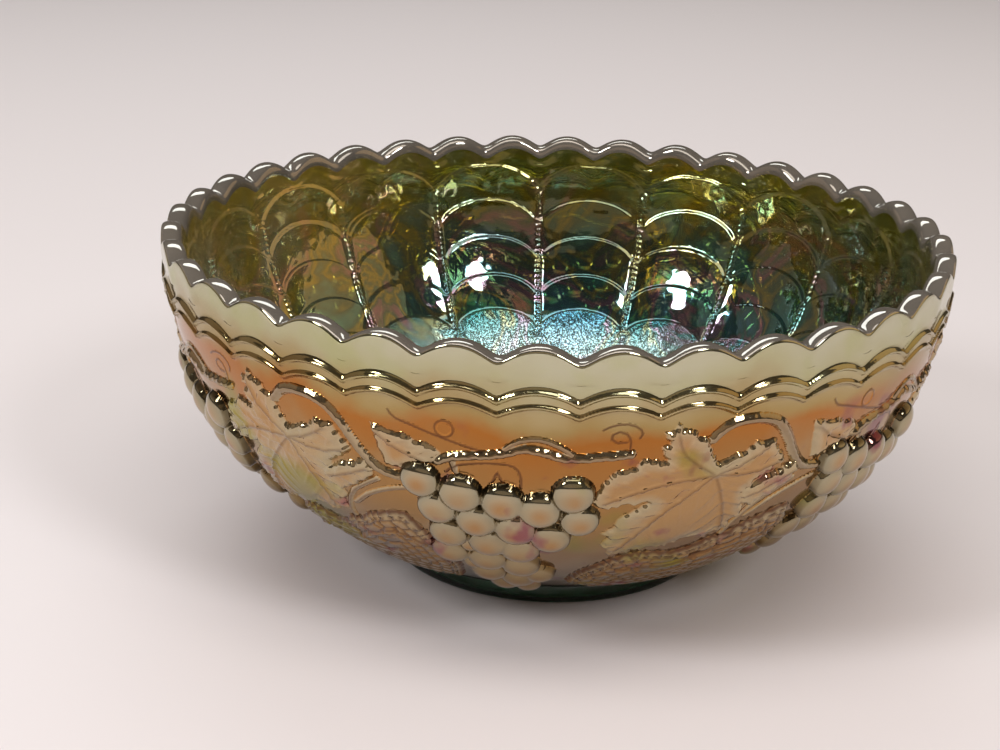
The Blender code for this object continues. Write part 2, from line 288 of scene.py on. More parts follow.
TENDRILS = [[(-20.6, 78.0), (-19.8, 76.1), (-17.8, 74.9), (-14.5, 72.9), (-11.1, 71.0),
             (-8.4, 69.7)],
            [(6.6, 77.0), (7.8, 78.2), (9.4, 78.6), (10.8, 77.8), (11.6, 76.2), (11.3, 74.6)],
            [(9.7, 73.6), (8.6, 73.5), (7.8, 74.4), (7.9, 75.9), (8.8, 76.6), (9.7, 75.8),
             (10.2, 73.8), (10.2, 71.0)],
            [(-13.4, 62.6), (-12.0, 64.8), (-8.6, 66.2), (-5.3, 66.5), (-3.9, 65.2),
             (-3.4, 61.8), (-3.6, 57.8)],
            [(-8.2, 58.4), (-7.0, 61.8), (-6.6, 64.0), (-6.0, 61.6), (-5.2, 59.2)]]
CURL = (-13.2, 74.9, 2.1)

# Leaf margins: the pitch of the teeth, and where a bead lies inside the margin
TOOTH_PITCH = 3.1
BEAD_PLACE = 0.75
BEAD_WIDTH = 0.6
# Veins, the slanting side veins beside them, and the quilting between them
VEIN_SPACING = 2.0
VEIN_LIFT = 0.5
VEIN_WIDTH = 0.55
# The strength and half width of a dark line of painted shade along each vein
VEIN_SHADE = 0.5
VEIN_SHADE_WIDTH = 0.4
SIDE_VEIN_LIFT = 0.22
SIDE_VEIN_PITCH = 5.0
SIDE_VEIN_SLANT = 0.8
SIDE_VEIN_REACH = (10, 4)
QUILT_LIFT = 0.30
QUILT_REACH = 5.0

# The lower leaf. It fades out towards the foot between the two heights of its fade.
LOWER_LEAF_LIFT = 0.8
LOWER_LEAF_TOOTH = 0.5
LOWER_BEAD_LIFT = 0.5
LOWER_BEAD_PITCH = 2.8
BLOCK_LIFT = 0.5
BLOCK_START = 2.0
BLOCK_EDGE = 0.2
ROW_SHIFT = 0.37
LOWER_VEIN_LIFT = 0.5
LOWER_VEIN_WIDTH = 0.7
LOWER_LEAF_FADE = (12.0, 17.0)

# Strands as (half width, lift, knots), and the dark line of painted shade along each as (half width,
# strength). On the stem it stands for a painted dark reflection.
STRAND_SPACING = 1.2
STRAND_ROUNDING = 1.4
VINE_STRAND, VINE_SHADE = (1.65, 1.25, 0.06), (1.3, 0.45)
STEM_STRAND, STEM_SHADE = (1.5, 1.35, 0.2), (1.2, 0.45)
STALK_STRAND, STALK_SHADE = (1.0, 0.6, 0.1), (0.55, 0.65)
TENDRIL_STRAND, TENDRIL_SHADE = (0.65, 0.12), (0.5, 1.0)
CURL_HALF_WIDTH = 0.65
CURL_LIFT = 0.14

# The leaf mask reaches 1 this far inside a margin. A strand higher than the least has its own.
LEAF_MASK_DEPTH = 5
STRAND_MASK = 0.2
STRAND_MASK_LEAST = 0.3


def band_lift(wall):
    """The moulded band under the rim: two rounded ridges on a low step, cusped at each valley."""
    below_top = scallop_line(BAND_TOP, wall.angle) - wall.height
    above_bottom = wall.height - scallop_line(BAND_BOTTOM, wall.angle)
    lift = BAND_LIFT * smoothstep(0, BAND_EASE[0], below_top)
    lift = lift * smoothstep(0, BAND_EASE[1], above_bottom)
    turn = np.radians(wall.angle)
    uneven = 1
    for share, waves, phase in BAND_WAVES:
        uneven = uneven + share * np.sin(waves * turn + phase)
    for line in BAND_RIDGES:
        across = (wall.height - scallop_line(line, wall.angle)) / RIDGE_HALF_WIDTH
        lift = lift + RIDGE_LIFT * uneven * np.clip(1 - np.abs(across)**RIDGE_ROUNDING, 0, 1)
    return lift


def grapes_lift(wall):
    """Domes that overlap downwards like scales. Also says how central each point is."""
    lift = wall.blank()
    middle = wall.blank()
    for angle, height, bare_radius in GRAPES:
        radius = bare_radius * GRAPE_OVERLAP
        x, y = wall.offset(angle, height)
        d = np.hypot(x, y) / radius
        dome = GRAPE_LIFT * (radius / GRAPE_USUAL_RADIUS) * np.sqrt(np.clip(1 - d**2, 0, 1))
        dome = (dome - GRAPE_TILT * y / radius + GRAPE_TILT) * smoothstep(*GRAPE_EDGE, 1 - d)
        dome = np.where(d < 1, dome, 0)
        higher = dome > lift
        lift = np.where(higher, dome, lift)
        middle = np.where(higher, 1 - np.clip(d, 0, 1), middle)
    return lift, middle


def margin_beat(along, pitch):
    """An uneven beat along a margin, from 0 to 1."""
    return 0.5 + 0.5 * np.cos(2 * pi * along / pitch + 1.4 * np.sin(along * 0.61))


def leaf_lift(wall, outline, height, veins, bead=0.35, tooth=0.35):
    """A raised leaf with a toothed, beaded margin, veins and quilting between them, and painted shade
    as a dark line along each vein.
    """
    inside, along = wall.outline_distance(outline)
    beat = margin_beat(along, TOOTH_PITCH)
    margin = inside + tooth * (beat - 0.5)
    lift = height * smoothstep(-0.1, 1.5, margin)
    lift += bead * hump(inside - BEAD_PLACE, BEAD_WIDTH) * beat**2 * (margin > 0)
    nearest = np.full(inside.shape, np.inf)
    veined = np.zeros(inside.shape)
    for vein in veins:
        distance, run = wall.path_distance(smooth_path(vein, VEIN_SPACING))
        nearest = np.minimum(nearest, distance)
        side = np.cos(2 * pi * (run - SIDE_VEIN_SLANT * distance) / SIDE_VEIN_PITCH)
        side_vein = SIDE_VEIN_LIFT * smoothstep(0.5, 1, side) * smoothstep(*SIDE_VEIN_REACH, distance)
        veined = np.maximum(veined, VEIN_LIFT * hump(distance, VEIN_WIDTH) + side_vein)
    lift += veined * smoothstep(0.2, 1.2, margin)
    lift += QUILT_LIFT * smoothstep(0.2, QUILT_REACH, np.minimum(nearest, inside)) * (margin > 0)
    # A dark line of painted shade along each vein, fading in from the margin
    painted_shade = VEIN_SHADE * hump(nearest, VEIN_SHADE_WIDTH) * smoothstep(0.6, 2.0, margin)
    return lift, margin, painted_shade


def blocks(inside, along):
    """Rows of small blocks along a margin: 1 on a block and 0 in the grooves between them."""
    row = inside / BLOCK_SIZE[1]
    place = along / BLOCK_SIZE[0] + ROW_SHIFT * np.floor(row)
    block = 1.0
    for share in (row - np.floor(row), place - np.floor(place)):
        block = block * smoothstep(0.0, BLOCK_EDGE, share) * smoothstep(1.0, 1 - BLOCK_EDGE, share)
    return block


def lower_leaf_lift(wall):
    """The broad lower leaf: rows of small blocks inside a beaded margin, crossed by veins, with
    painted shade in the grooves between the blocks and along the margin and the veins.
    """
    inside, along = wall.outline_distance(LOWER_LEAF)
    margin = inside + LOWER_LEAF_TOOTH * (margin_beat(along, TOOTH_PITCH) - 0.5)
    bead = margin_beat(along, LOWER_BEAD_PITCH)
    block = blocks(inside, along)
    lift = LOWER_LEAF_LIFT * smoothstep(-0.1, 1.4, margin)
    lift += LOWER_BEAD_LIFT * hump(inside - BEAD_PLACE, BEAD_WIDTH) * bead**2 * (margin > 0)
    lift += (margin > BLOCK_START) * BLOCK_LIFT * block
    # Painted shade: dark in the grooves between the blocks, along the margin, in dashes inside the
    # beaded margin and beside the veins
    painted_shade = 0.85 * (1 - block) * (margin > 1.8)
    painted_shade = np.maximum(painted_shade, hump(inside - 0.35, 0.6))
    painted_shade = np.maximum(painted_shade, hump(inside - 1.9, 0.45) * bead)
    for vein in LOWER_LEAF_VEINS:
        distance, _ = wall.path_distance(smooth_path(vein, VEIN_SPACING))
        lift += LOWER_VEIN_LIFT * hump(distance, LOWER_VEIN_WIDTH) * (margin > 0.4)
        # Painted shade beside each vein
        painted_shade = np.maximum(painted_shade, 0.8 * hump(distance - 0.8, 0.4) * (margin > 0.6))
    return lift * smoothstep(*LOWER_LEAF_FADE, wall.height), margin, painted_shade


def strand_lift(wall, points, half_width, lift, knots=0.0):
    """A strand along a smooth path. Knots roughen its height along the way."""
    distance, run = wall.path_distance(smooth_path(points, STRAND_SPACING))
    wave = 1 + knots * np.sin(run * 2.1) * np.sin(run * 0.83 + 1)
    return lift * wave * np.clip(1 - (distance / half_width)**2, 0, 1)**STRAND_ROUNDING


def stem_lift(wall):
    """The stem over the cluster, with its branches, thin tendrils and small pointed leaf, and painted
    shade as dark lines along them and a dark ring on the curl.
    """
    lift, margin, painted_shade = leaf_lift(wall, SMALL_LEAF, SMALL_LEAF_LIFT, SMALL_LEAF_VEINS, 0.2, 0.15)
    strands = [(STEM, STEM_STRAND, STEM_SHADE)]
    strands += [(stalk, STALK_STRAND, STALK_SHADE) for stalk in STALKS]
    strands += [(tendril, TENDRIL_STRAND, TENDRIL_SHADE) for tendril in TENDRILS]
    for points, strand, strand_shade in strands:
        lift = np.maximum(lift, strand_lift(wall, points, *strand))
        # A dark line of painted shade along each strand. On the stem it stands for a painted dark
        # reflection.
        painted_shade = np.maximum(painted_shade, strand_lift(wall, points, *strand_shade))
    x, y = wall.offset(*CURL[:2])
    ring = np.hypot(x, y) - CURL[2]
    lift = np.maximum(lift, CURL_LIFT * np.clip(1 - (ring / CURL_HALF_WIDTH)**2, 0, 1))
    # A dark ring of painted shade along the curl
    painted_shade = np.maximum(painted_shade, 0.9 * np.clip(1 - ((ring - 0.2) / 0.42)**2, 0, 1))
    mask = np.maximum(margin / LEAF_MASK_DEPTH, (lift > STRAND_MASK_LEAST) * STRAND_MASK)
    return lift, np.clip(mask, 0, 1), painted_shade


def whole_leaf_lift(wall):
    """The large leaf, with its right lobe laid over it."""
    leaf, leaf_margin, leaf_shade = leaf_lift(wall, LEAF, LEAF_LIFT, LEAF_VEINS)
    lobe, lobe_margin, lobe_shade = leaf_lift(wall, RIGHT_LOBE, RIGHT_LOBE_LIFT, RIGHT_LOBE_VEINS)
    painted_shade = np.where(lobe > leaf, lobe_shade, leaf_shade)
    return np.maximum(leaf, lobe), np.maximum(leaf_margin, lobe_margin), painted_shade


def features(wall):
    """Each feature's lift, its mask (leafy, or how central on a grape) and its painted shade, as dark
    lines along the relief.
    """
    leaf, leaf_margin, leaf_shade = whole_leaf_lift(wall)
    lower, lower_margin, lower_shade = lower_leaf_lift(wall)
    grapes, middle = grapes_lift(wall)
    vine = strand_lift(wall, VINE, *VINE_STRAND)
    vine_shade = strand_lift(wall, VINE, *VINE_SHADE)
    return {"grape_cluster": (grapes, middle, wall.blank()),
            "grape_leaf": (leaf, np.clip(leaf_margin / LEAF_MASK_DEPTH, 0, 1), leaf_shade),
            "lower_leaf": (lower, np.clip(lower_margin / LEAF_MASK_DEPTH, 0, 1), lower_shade),
            "vine": (vine, (vine > STRAND_MASK_LEAST) * STRAND_MASK, vine_shade),
            "stem": stem_lift(wall)}


def under_film(top):
    """The glass's own relief under a film of this height."""
    return np.maximum(GLASS_SHARE * top - RELIEF_SINK, 0)


def outside_lift(wall):
    """The outside glass, a little lower than the films so that they cover it. No stipple."""
    lifts = [lift for lift, _, _ in features(wall).values()]
    return under_film(np.maximum.reduce(lifts)) + band_lift(wall), wall.blank()


# The inside: panels of stacked scales between thin ribs, over a stippled floor

PANELS = 18
SCALES = [(89.0, 79.5), (77.2, 68.7), (65.3, 57.5), (53.6, 46.8), (43.2, 37.0)]
SCALE_LIFT = 0.6
# How strongly a row of scales arches, and how far down the last row reaches
SCALE_ROUNDNESS = 0.92
LAST_SCALE = 12
RIB_TOP = 80.0
RIB_BOTTOM = 36.0
RIB_LIFT = 0.9
RIB_WIDTH = 0.6
RIB_BEAD_PITCH = 1.8
PEBBLE_PITCH = 2.4
PEBBLE_LIFT = 0.04
FLUTE_DEPTH = 0.55
# The ribs and flutes fade with height, and the floor's pebbles with the distance from the axis
RIB_FADE = 1
FLUTE_BOTTOM = (30, 44)
FLUTE_TOP = (91, 80)
PEBBLE_START = (4, 8)


def scale_lines(t):
    """The height of each row of scales, arched from a panel's middle (t = 0) to its ribs."""
    arch = (1 - np.sqrt(1 - SCALE_ROUNDNESS * t**2)) / (1 - np.sqrt(1 - SCALE_ROUNDNESS))
    return [top - (top - corner) * arch for top, corner in SCALES]


def inside_lift(wall):
    """The inner pattern's height towards the bowl's middle, and where it is stippled."""
    to_rib = np.abs(from_nearest_valley(wall.angle, PANELS))
    t = 1 - 2 * to_rib
    lines = scale_lines(t)
    lift = wall.blank()
    for line, below in zip(lines, lines[1:] + [lines[-1] - LAST_SCALE]):
        depth = line - wall.height
        share = np.clip(depth / (line - below), 0, 1)
        inside = (depth > 0) & (wall.height > below)
        lift += inside * SCALE_LIFT * (1 - share)**1.3 * smoothstep(0, 0.5, depth)
    upper = smoothstep(RIB_BOTTOM - RIB_FADE, RIB_BOTTOM + RIB_FADE, wall.height)
    window = upper * smoothstep(RIB_TOP + RIB_FADE, RIB_TOP - RIB_FADE, wall.height)
    across = 2 * to_rib * pi * wall.radius / PANELS
    bead = 1 + 0.3 * np.sin(2 * pi * wall.arc / RIB_BEAD_PITCH)
    lift += window * RIB_LIFT * bead * hump(across, RIB_WIDTH)
    flute = smoothstep(*FLUTE_BOTTOM, wall.height) * smoothstep(*FLUTE_TOP, wall.height)
    lift -= FLUTE_DEPTH * flute * (1 - t**2)
    stipple = smoothstep(0, 1.0, lines[-1] - wall.height)
    turns = np.round(wall.radius * 2 * pi / PEBBLE_PITCH / SECTORS) * SECTORS
    rings = np.cos(2 * pi * wall.arc / PEBBLE_PITCH)
    pebbles = rings * np.cos(np.radians(wall.angle) * turns) * smoothstep(*PEBBLE_START, wall.radius)
    lift += PEBBLE_LIFT * stipple * pebbles
    return lift, stipple


# Meshes


# The body's material slots, in the order in which make_body is given its materials
OUTSIDE_SLOT, INSIDE_SLOT, LIP_SLOT, UNDERSIDE_SLOT = range(4)


def section_normals(section):
    """Unit normals on the left of a section's path."""
    along = np.gradient(section, axis=0)
    along /= np.hypot(*along.T)[:, None]
    return np.stack([-along[:, 1], along[:, 0]], axis=1)


def no_lift(wall):
    """Plain glass, with no pattern and no stipple."""
    return wall.blank(), wall.blank()


def outer_rows():
    """The outside section, with closer rows over the moulded band and the rim."""
    fine = smooth_path(OUTER_WALL, BAND_STEP)
    coarse = smooth_path(OUTER_WALL, OUTER_STEP)
    edge = BAND_BOTTOM[1] - 1
    return np.vstack([coarse[coarse[:, 1] < edge - BAND_STEP], fine[fine[:, 1] >= edge]])


def body_zones():
    """The closed section, up the inside, over the lip, down the outside and back under."""
    inner = smooth_path(INNER_WALL, INNER_STEP)
    lip = smooth_path(LIP[::-1], LIP_STEP)[1:-1]
    crest = lip[:, 0] > LIP_FILM_START
    under = smooth_path(UNDERSIDE, UNDERSIDE_STEP)
    return [(inner, inside_lift, INSIDE_SLOT), (lip[~crest], no_lift, LIP_SLOT),
            (lip[crest], no_lift, OUTSIDE_SLOT), (outer_rows()[::-1], outside_lift, OUTSIDE_SLOT),
            (under, no_lift, UNDERSIDE_SLOT)]


def on_wall(wall, lift, normals):
    """Points in metres at a height over the wall, with the rim's scallops let down."""
    radius = wall.radius + lift * normals[:, 0:1]
    height = wall.height + lift * normals[:, 1:2]
    height = height - rim_drop(wall.angle) * smoothstep(SCALLOP_START, SCALLOP_FULL, wall.height)
    turn = np.radians(wall.angle)
    points = np.stack([radius * np.sin(turn), -radius * np.cos(turn), height], axis=-1)
    return points * MM


def rotated(points, turn_degrees):
    turn = Matrix.Rotation(radians(turn_degrees), 3, "Z")
    return points @ np.array(turn).T


def mesh_from_quads(name, points, quads, materials, slots, masks, flat_from=None):
    """A smooth mesh. Quads from flat_from onwards are flat, so edges there stay crisp."""
    mesh = bpy.data.meshes.new(name)
    mesh.vertices.add(len(points))
    mesh.vertices.foreach_set("co", points.astype(np.float32).ravel())
    mesh.loops.add(quads.size)
    mesh.loops.foreach_set("vertex_index", quads.astype(np.int32).ravel())
    mesh.polygons.add(len(quads))
    mesh.polygons.foreach_set("loop_start", np.arange(0, quads.size, quads.shape[1], dtype=np.int32))
    mesh.polygons.foreach_set("material_index", slots.astype(np.int32))
    count = len(quads) if flat_from is None else flat_from
    mesh.polygons.foreach_set("use_smooth", np.arange(len(quads)) < count)
    for material in materials:
        mesh.materials.append(material)
    for key, values in masks.items():
        layer = mesh.attributes.new(key, "FLOAT", "POINT")
        layer.data.foreach_set("value", values.astype(np.float32).ravel())
    mesh.update(calc_edges=True)
    mesh.validate()
    return mesh


def add_piece(name, mesh):
    piece = bpy.data.objects.new(name, mesh)
    bpy.context.scene.collection.objects.link(piece)
    return piece


def ring_caps(mesh):
    """Closes each small hole at the axis with one face, of the material round it."""
    bm = bmesh.new()
    bm.from_mesh(mesh)
    rim = [edge for edge in bm.edges if edge.is_boundary]
    for cap in bmesh.ops.holes_fill(bm, edges=rim)["faces"]:
        beside = [face for face in cap.edges[0].link_faces if face != cap]
        cap.material_index = beside[0].material_index
        cap.smooth = True
    bmesh.ops.recalc_face_normals(bm, faces=bm.faces)
    bm.to_mesh(mesh)
    bm.free()


def make_body(materials):
    angles = VALLEY_ANGLE + np.arange(BODY_COLUMNS) * SECTOR_ANGLE / BODY_COLUMNS
    zones = body_zones()
    section = np.vstack([zone for zone, _, _ in zones])
    normals = section_normals(section)
    rows, slot_rows, stipple = [], [], []
    start = 0
    for zone, lift_of, slot in zones:
        wall = Wall(zone, angles)
        lift, stippled = lift_of(wall)
        rows.append(on_wall(wall, lift, normals[start:start + len(zone)]))
        stipple.append(stippled)
        slot_rows += [slot] * len(zone)
        start += len(zone)
    sector = np.concatenate(rows)
    count = len(sector)
    points = np.concatenate([rotated(sector, k * SECTOR_ANGLE) for k in range(SECTORS)], axis=1)
    masks = {"stipple": np.tile(np.concatenate(stipple), (1, SECTORS))}
    total = BODY_COLUMNS * SECTORS
    index = np.arange(count * total).reshape(count, total)
    right = np.roll(index, -1, axis=1)
    quads = np.stack([index[:-1], right[:-1], right[1:], index[1:]], axis=-1).reshape(-1, 4)
    slots = np.repeat(np.array(slot_rows[:-1]), total)
    mesh = mesh_from_quads("bowl_body", points.reshape(-1, 3), quads, materials, slots, masks)
    ring_caps(mesh)
    return add_piece("bowl_body", mesh)


# The centre angle of each feature's window, which is one repeat wide
WINDOWS = {"grape_cluster": -6, "grape_leaf": 20, "lower_leaf": 24, "vine": 31, "stem": -10}


def tidy_region(region):
    """Drops single faces, and fills places where two faces touch only at a corner."""
    for _ in range(4):
        padded = np.pad(region, 1)
        count = sum(padded[1 + i:padded.shape[0] - 1 + i, 1 + j:padded.shape[1] - 1 + j].astype(int)
                    for i, j in ((0, 1), (1, 0), (0, -1), (-1, 0)))
        region = (region & (count > 1)) | (count > 2)
        a, b, c, d = region[:-1, :-1], region[:-1, 1:], region[1:, :-1], region[1:, 1:]
        crossed = (a & d & ~b & ~c) | (b & c & ~a & ~d)
        for part in (a, b, c, d):
            part |= crossed
    return region


def film_mesh(name, outer, inner, region, material, masks):
    """A closed thin shell from two grids and the faces to keep of them."""
    rows, columns = outer.shape[:2]
    total = rows * columns
    index = np.arange(total).reshape(rows, columns)
    corners = np.stack([index[:-1, :-1], index[:-1, 1:], index[1:, 1:], index[1:, :-1]], axis=-1)
    front = corners[region]
    back = front[:, ::-1] + total
    edges = np.concatenate([front[:, [i, (i + 1) % 4]] for i in range(4)])
    forward = edges[:, 0] * total + edges[:, 1]
    backward = edges[:, 1] * total + edges[:, 0]
    start, end = edges[~np.isin(forward, backward)].T
    side = np.stack([end, start, start + total, end + total], axis=1)
    used, quads = np.unique(np.concatenate([front, back, side]), return_inverse=True)
    quads = quads.reshape(-1, 4)
    points = np.concatenate([outer.reshape(-1, 3), inner.reshape(-1, 3)])[used]
    masks = {key: np.tile(value.ravel(), 2)[used] for key, value in masks.items()}
    return mesh_from_quads(name, points, quads, [material], np.zeros(len(quads)), masks,
                           flat_from=len(front) + len(back))


def highest_corner(lift):
    """The highest of the four corners of each face of a grid."""
    return np.maximum.reduce([lift[:-1, :-1], lift[1:, :-1], lift[:-1, 1:], lift[1:, 1:]])


def make_relief(material):
    """A closed lustre film over every feature, each repeated round the bowl."""
    section = smooth_path(OUTER_WALL, RELIEF_STEP)
    section = section[section[:, 1] < RELIEF_TOP]
    normals = -section_normals(section)
    pieces = []
    for name, centre in WINDOWS.items():
        start = round((centre - SECTOR_ANGLE / 2) * RELIEF_COLUMNS / SECTOR_ANGLE)
        angles = (start + np.arange(RELIEF_COLUMNS)) * SECTOR_ANGLE / RELIEF_COLUMNS
        wall = Wall(section, angles)
        found = features(wall)
        top = np.maximum.reduce([found[key][0] for key in WINDOWS])
        lift, mask, painted_shade = found[name]
        mine = highest_corner(lift)
        region = tidy_region((mine >= highest_corner(top)) & (mine > LEAST_LIFT))
        proud = RELIEF_PROUD - EDGE_DIP * smoothstep(EDGE_START, 0.0, top)
        outer = on_wall(wall, top + band_lift(wall) + proud, normals)
        inner = on_wall(wall, under_film(top) + band_lift(wall) - RELIEF_BACK, normals)
        # The painted shade goes to the film as a mask of its own
        masks = {"grape" if name == "grape_cluster" else "leaf": mask, "painted_shade": painted_shade}
        for k in range(SECTORS):
            turn = k * SECTOR_ANGLE
            label = f"{name}_film_{k + 1}"
            mesh = film_mesh(label, rotated(outer, turn), rotated(inner, turn), region, material,
                             masks)
            pieces.append((add_piece(label, mesh), f"{name}_{k + 1}"))
    return pieces


FOOT_SECTION = [(40.2, 6.0), (40.2, 3.0), (40.4, 1.0), (41.2, 0.15), (42.4, 0.0), (45.4, 0.0),
                (46.8, 0.25), (47.6, 1.2), (47.8, 3.0), (47.6, 5.2), (47.3, 6.0)]
FOOT_STEP = 0.35
FOOT_COLUMNS = 360
FOOT_TOP_ROWS = 6


def make_foot(material):
    """The collar foot, turned from its section and closed along its top."""
    section = smooth_path(FOOT_SECTION, FOOT_STEP)
    top = np.linspace(section[-1], section[0], FOOT_TOP_ROWS + 2)[1:-1]
    section = np.vstack([section, top])
    turn = np.radians(np.arange(FOOT_COLUMNS) * 360 / FOOT_COLUMNS)
    r, z = section[:, 0:1], section[:, 1:2]
    points = np.stack([r * np.sin(turn), -r * np.cos(turn), z + 0 * turn], axis=-1) * MM
    count, total = points.shape[:2]
    index = np.arange(count * total).reshape(count, total)
    down = np.roll(index, -1, axis=0)
    quads = np.stack([index, np.roll(index, -1, axis=1), np.roll(down, -1, axis=1), down], axis=-1)
    quads = quads.reshape(-1, 4)
    mesh = mesh_from_quads("foot_collar", points.reshape(-1, 3), quads, [material],
                           np.zeros(len(quads)), {})
    ring_caps(mesh)
    return add_piece("foot_collar", mesh)


# Materials. Colours are linear, lengths in nodes are metres and noise scales are per metre.

GLASS_TINT = (0.42, 0.60, 0.20)
GLASS_DENSITY = 60.0
GLASS_IOR = 1.52
FOOT_TINT = (0.12, 0.62, 0.36)
FOOT_DENSITY = 250.0
RAMP_HEIGHT = 0.1

# Ramps run over the height as a share of RAMP_HEIGHT, or over a mask
GROUND = [(0.08, (0.08, 0.07, 0.010)), (0.17, (0.19, 0.11, 0.016)), (0.30, (0.32, 0.165, 0.040)),
          (0.45, (0.37, 0.21, 0.070)), (0.60, (0.44, 0.235, 0.075)), (0.74, (0.48, 0.18, 0.032)),
          (0.79, (0.46, 0.32, 0.12)), (0.85, (0.54, 0.43, 0.22)), (0.90, (0.61, 0.57, 0.34)),
          (0.97, (0.67, 0.64, 0.45))]
LEAF_MASK = [(0.10, (0.46, 0.40, 0.26)), (0.60, (0.48, 0.37, 0.22)), (1.0, (0.45, 0.28, 0.13))]
# Grape colours from a grape's edge to its middle. The dark first stops are painted shade in the gaps
# between the grapes.
GRAPE_RAMP_WITH_GAP_SHADE = [(0.0, (0.02, 0.014, 0.006)), (0.09, (0.12, 0.09, 0.045)),
              (0.17, (0.32, 0.29, 0.20)), (0.45, (0.40, 0.32, 0.20)), (0.85, (0.42, 0.245, 0.11))]
OILY_FILM = [(0.36, (0.05, 0.62, 0.66)), (0.44, (0.05, 0.22, 0.20)), (0.48, (0.80, 0.58, 0.06)),
             (0.51, (0.08, 0.20, 0.16)), (0.56, (0.75, 0.24, 0.48)), (0.60, (0.06, 0.30, 0.30)),
             (0.67, (0.15, 0.50, 0.85))]
INSIDE = [(0.10, (1.0, 0.98, 0.96)), (0.34, (0.62, 0.88, 0.90)), (0.42, (0.03, 0.33, 0.37)),
          (0.58, (0.10, 0.19, 0.08)), (0.72, (0.30, 0.29, 0.022)), (0.92, (0.49, 0.45, 0.03))]
LIP_SMOKE = [(0.3, (0.30, 0.26, 0.22)), (0.7, (0.40, 0.34, 0.28))]
FOOT_STREAKS = [(0.3, (0.35, 0.85, 0.62)), (0.7, (0.45, 0.95, 0.70))]
OUTSIDE_METAL = [(0.06, 0.45), (0.13, 0.84), (0.78, 0.84), (0.86, 0.74)]
OILY_STRENGTH = [(0.12, 0.18), (0.36, 0.30), (0.44, 0.65), (0.90, 0.12)]

DULL_SILVER = (0.44, 0.35, 0.20)
YELLOW_GREEN = (0.52, 0.54, 0.20)
ROSE = (0.24, 0.05, 0.09)
GRASS_GREEN = (0.26, 0.27, 0.02)
LOW_LEAF = (0.23, 0.125, 0.030)
LOW_GRAPE = (0.20, 0.11, 0.03)
SILVER_GRAPE = (0.40, 0.34, 0.215)
# The colour of the painted shade along the relief's lines and grooves
PAINTED_SHADE_COLOUR = (0.09, 0.035, 0.022)
# The colour of a warm glow painted on the inside towards -X, as a painted reflection
PAINTED_GLOW_INSIDE = (1.0, 0.70, 0.12)

# The inner floor's stipple and the ripples in the inside
STIPPLE_SCALE = 2100.0
RIPPLE_LIFT = 1.9
BUMP_STRENGTH = 0.8
BUMP_DISTANCE = 0.0004


class Nodes:
    """A small helper for building a material's node tree."""

    def __init__(self, name):
        self.material = bpy.data.materials.new(name)
        self.material.use_nodes = True
        self.tree = self.material.node_tree
        self.shader = self.tree.nodes["Principled BSDF"]
        self.output = self.tree.nodes["Material Output"]

    def add(self, kind, **settings):
        node = self.tree.nodes.new(kind)
        for key, value in settings.items():
            setattr(node, key, value)
        return node


    def link(self, source, target):
        self.tree.links.new(source, target)

    def feed(self, name, source):
        """Links a value to one of the shader's inputs."""
        self.link(source, self.shader.inputs[name])

    def set(self, **values):
        """Sets the shader's own inputs. Underscores in the names stand for spaces."""
        for key, value in values.items():
            self.shader.inputs[key.replace("_", " ")].default_value = value

    def place(self):
        """The object's own coordinates, in metres."""
        return self.add("ShaderNodeTexCoord").outputs["Object"]

    def part_of_place(self, axis):
        split = self.add("ShaderNodeSeparateXYZ")
        self.link(self.place(), split.inputs[0])
        return split.outputs[axis]

    def mask(self, name):
        return self.add("ShaderNodeAttribute", attribute_name=name).outputs["Fac"]

    def noise(self, scale, detail=2.0, distortion=0.0):
        node = self.add("ShaderNodeTexNoise")
        node.inputs["Scale"].default_value = scale
        node.inputs["Detail"].default_value = detail
        node.inputs["Distortion"].default_value = distortion
        self.link(self.place(), node.inputs["Vector"])
        return node.outputs["Fac"]

    def span(self, value, low, high, to_low=0.0, to_high=1.0):
        """A value's range from low to high, mapped to another range and held at its ends."""
        node = self.add("ShaderNodeMapRange")
        self.link(value, node.inputs["Value"])
        numbers = {"From Min": low, "From Max": high, "To Min": to_low, "To Max": to_high}
        for key, number in numbers.items():
            node.inputs[key].default_value = number
        return node.outputs["Result"]

    def math(self, operation, a, b):
        node = self.add("ShaderNodeMath", operation=operation)
        for socket, value in zip(node.inputs, (a, b)):
            if isinstance(value, (int, float)):
                socket.default_value = value
            else:
                self.link(value, socket)
        return node.outputs["Value"]

    def mix(self, factor, a, b):
        node = self.add("ShaderNodeMix", data_type="RGBA")
        for socket, value in zip((node.inputs[0], node.inputs[6], node.inputs[7]), (factor, a, b)):
            if isinstance(value, (int, float, tuple)):
                socket.default_value = value if isinstance(value, (int, float)) else (*value, 1)
            else:
                self.link(value, socket)
        return node.outputs[2]

    def ramp(self, value, stops):
        """A colour ramp. A stop is a position and either a colour or a shade of grey."""
        node = self.add("ShaderNodeValToRGB")
        while len(node.color_ramp.elements) < len(stops):
            node.color_ramp.elements.new(0.5)
        for element, (position, colour) in zip(node.color_ramp.elements, stops):
            element.position = position
            element.color = (*colour, 1) if isinstance(colour, tuple) else (colour,) * 3 + (1,)
        self.link(value, node.inputs["Fac"])
        return node.outputs["Color"]

    def absorb(self, colour, density):
        """Glass that tints what passes through it."""
        volume = self.add("ShaderNodeVolumeAbsorption")
        volume.inputs["Color"].default_value = (*colour, 1)
        volume.inputs["Density"].default_value = density
        self.link(volume.outputs["Volume"], self.output.inputs["Volume"])


def height_of(n):
    """The height as a share of RAMP_HEIGHT, from the object's own coordinates."""
    return n.math("DIVIDE", n.part_of_place("Z"), RAMP_HEIGHT)


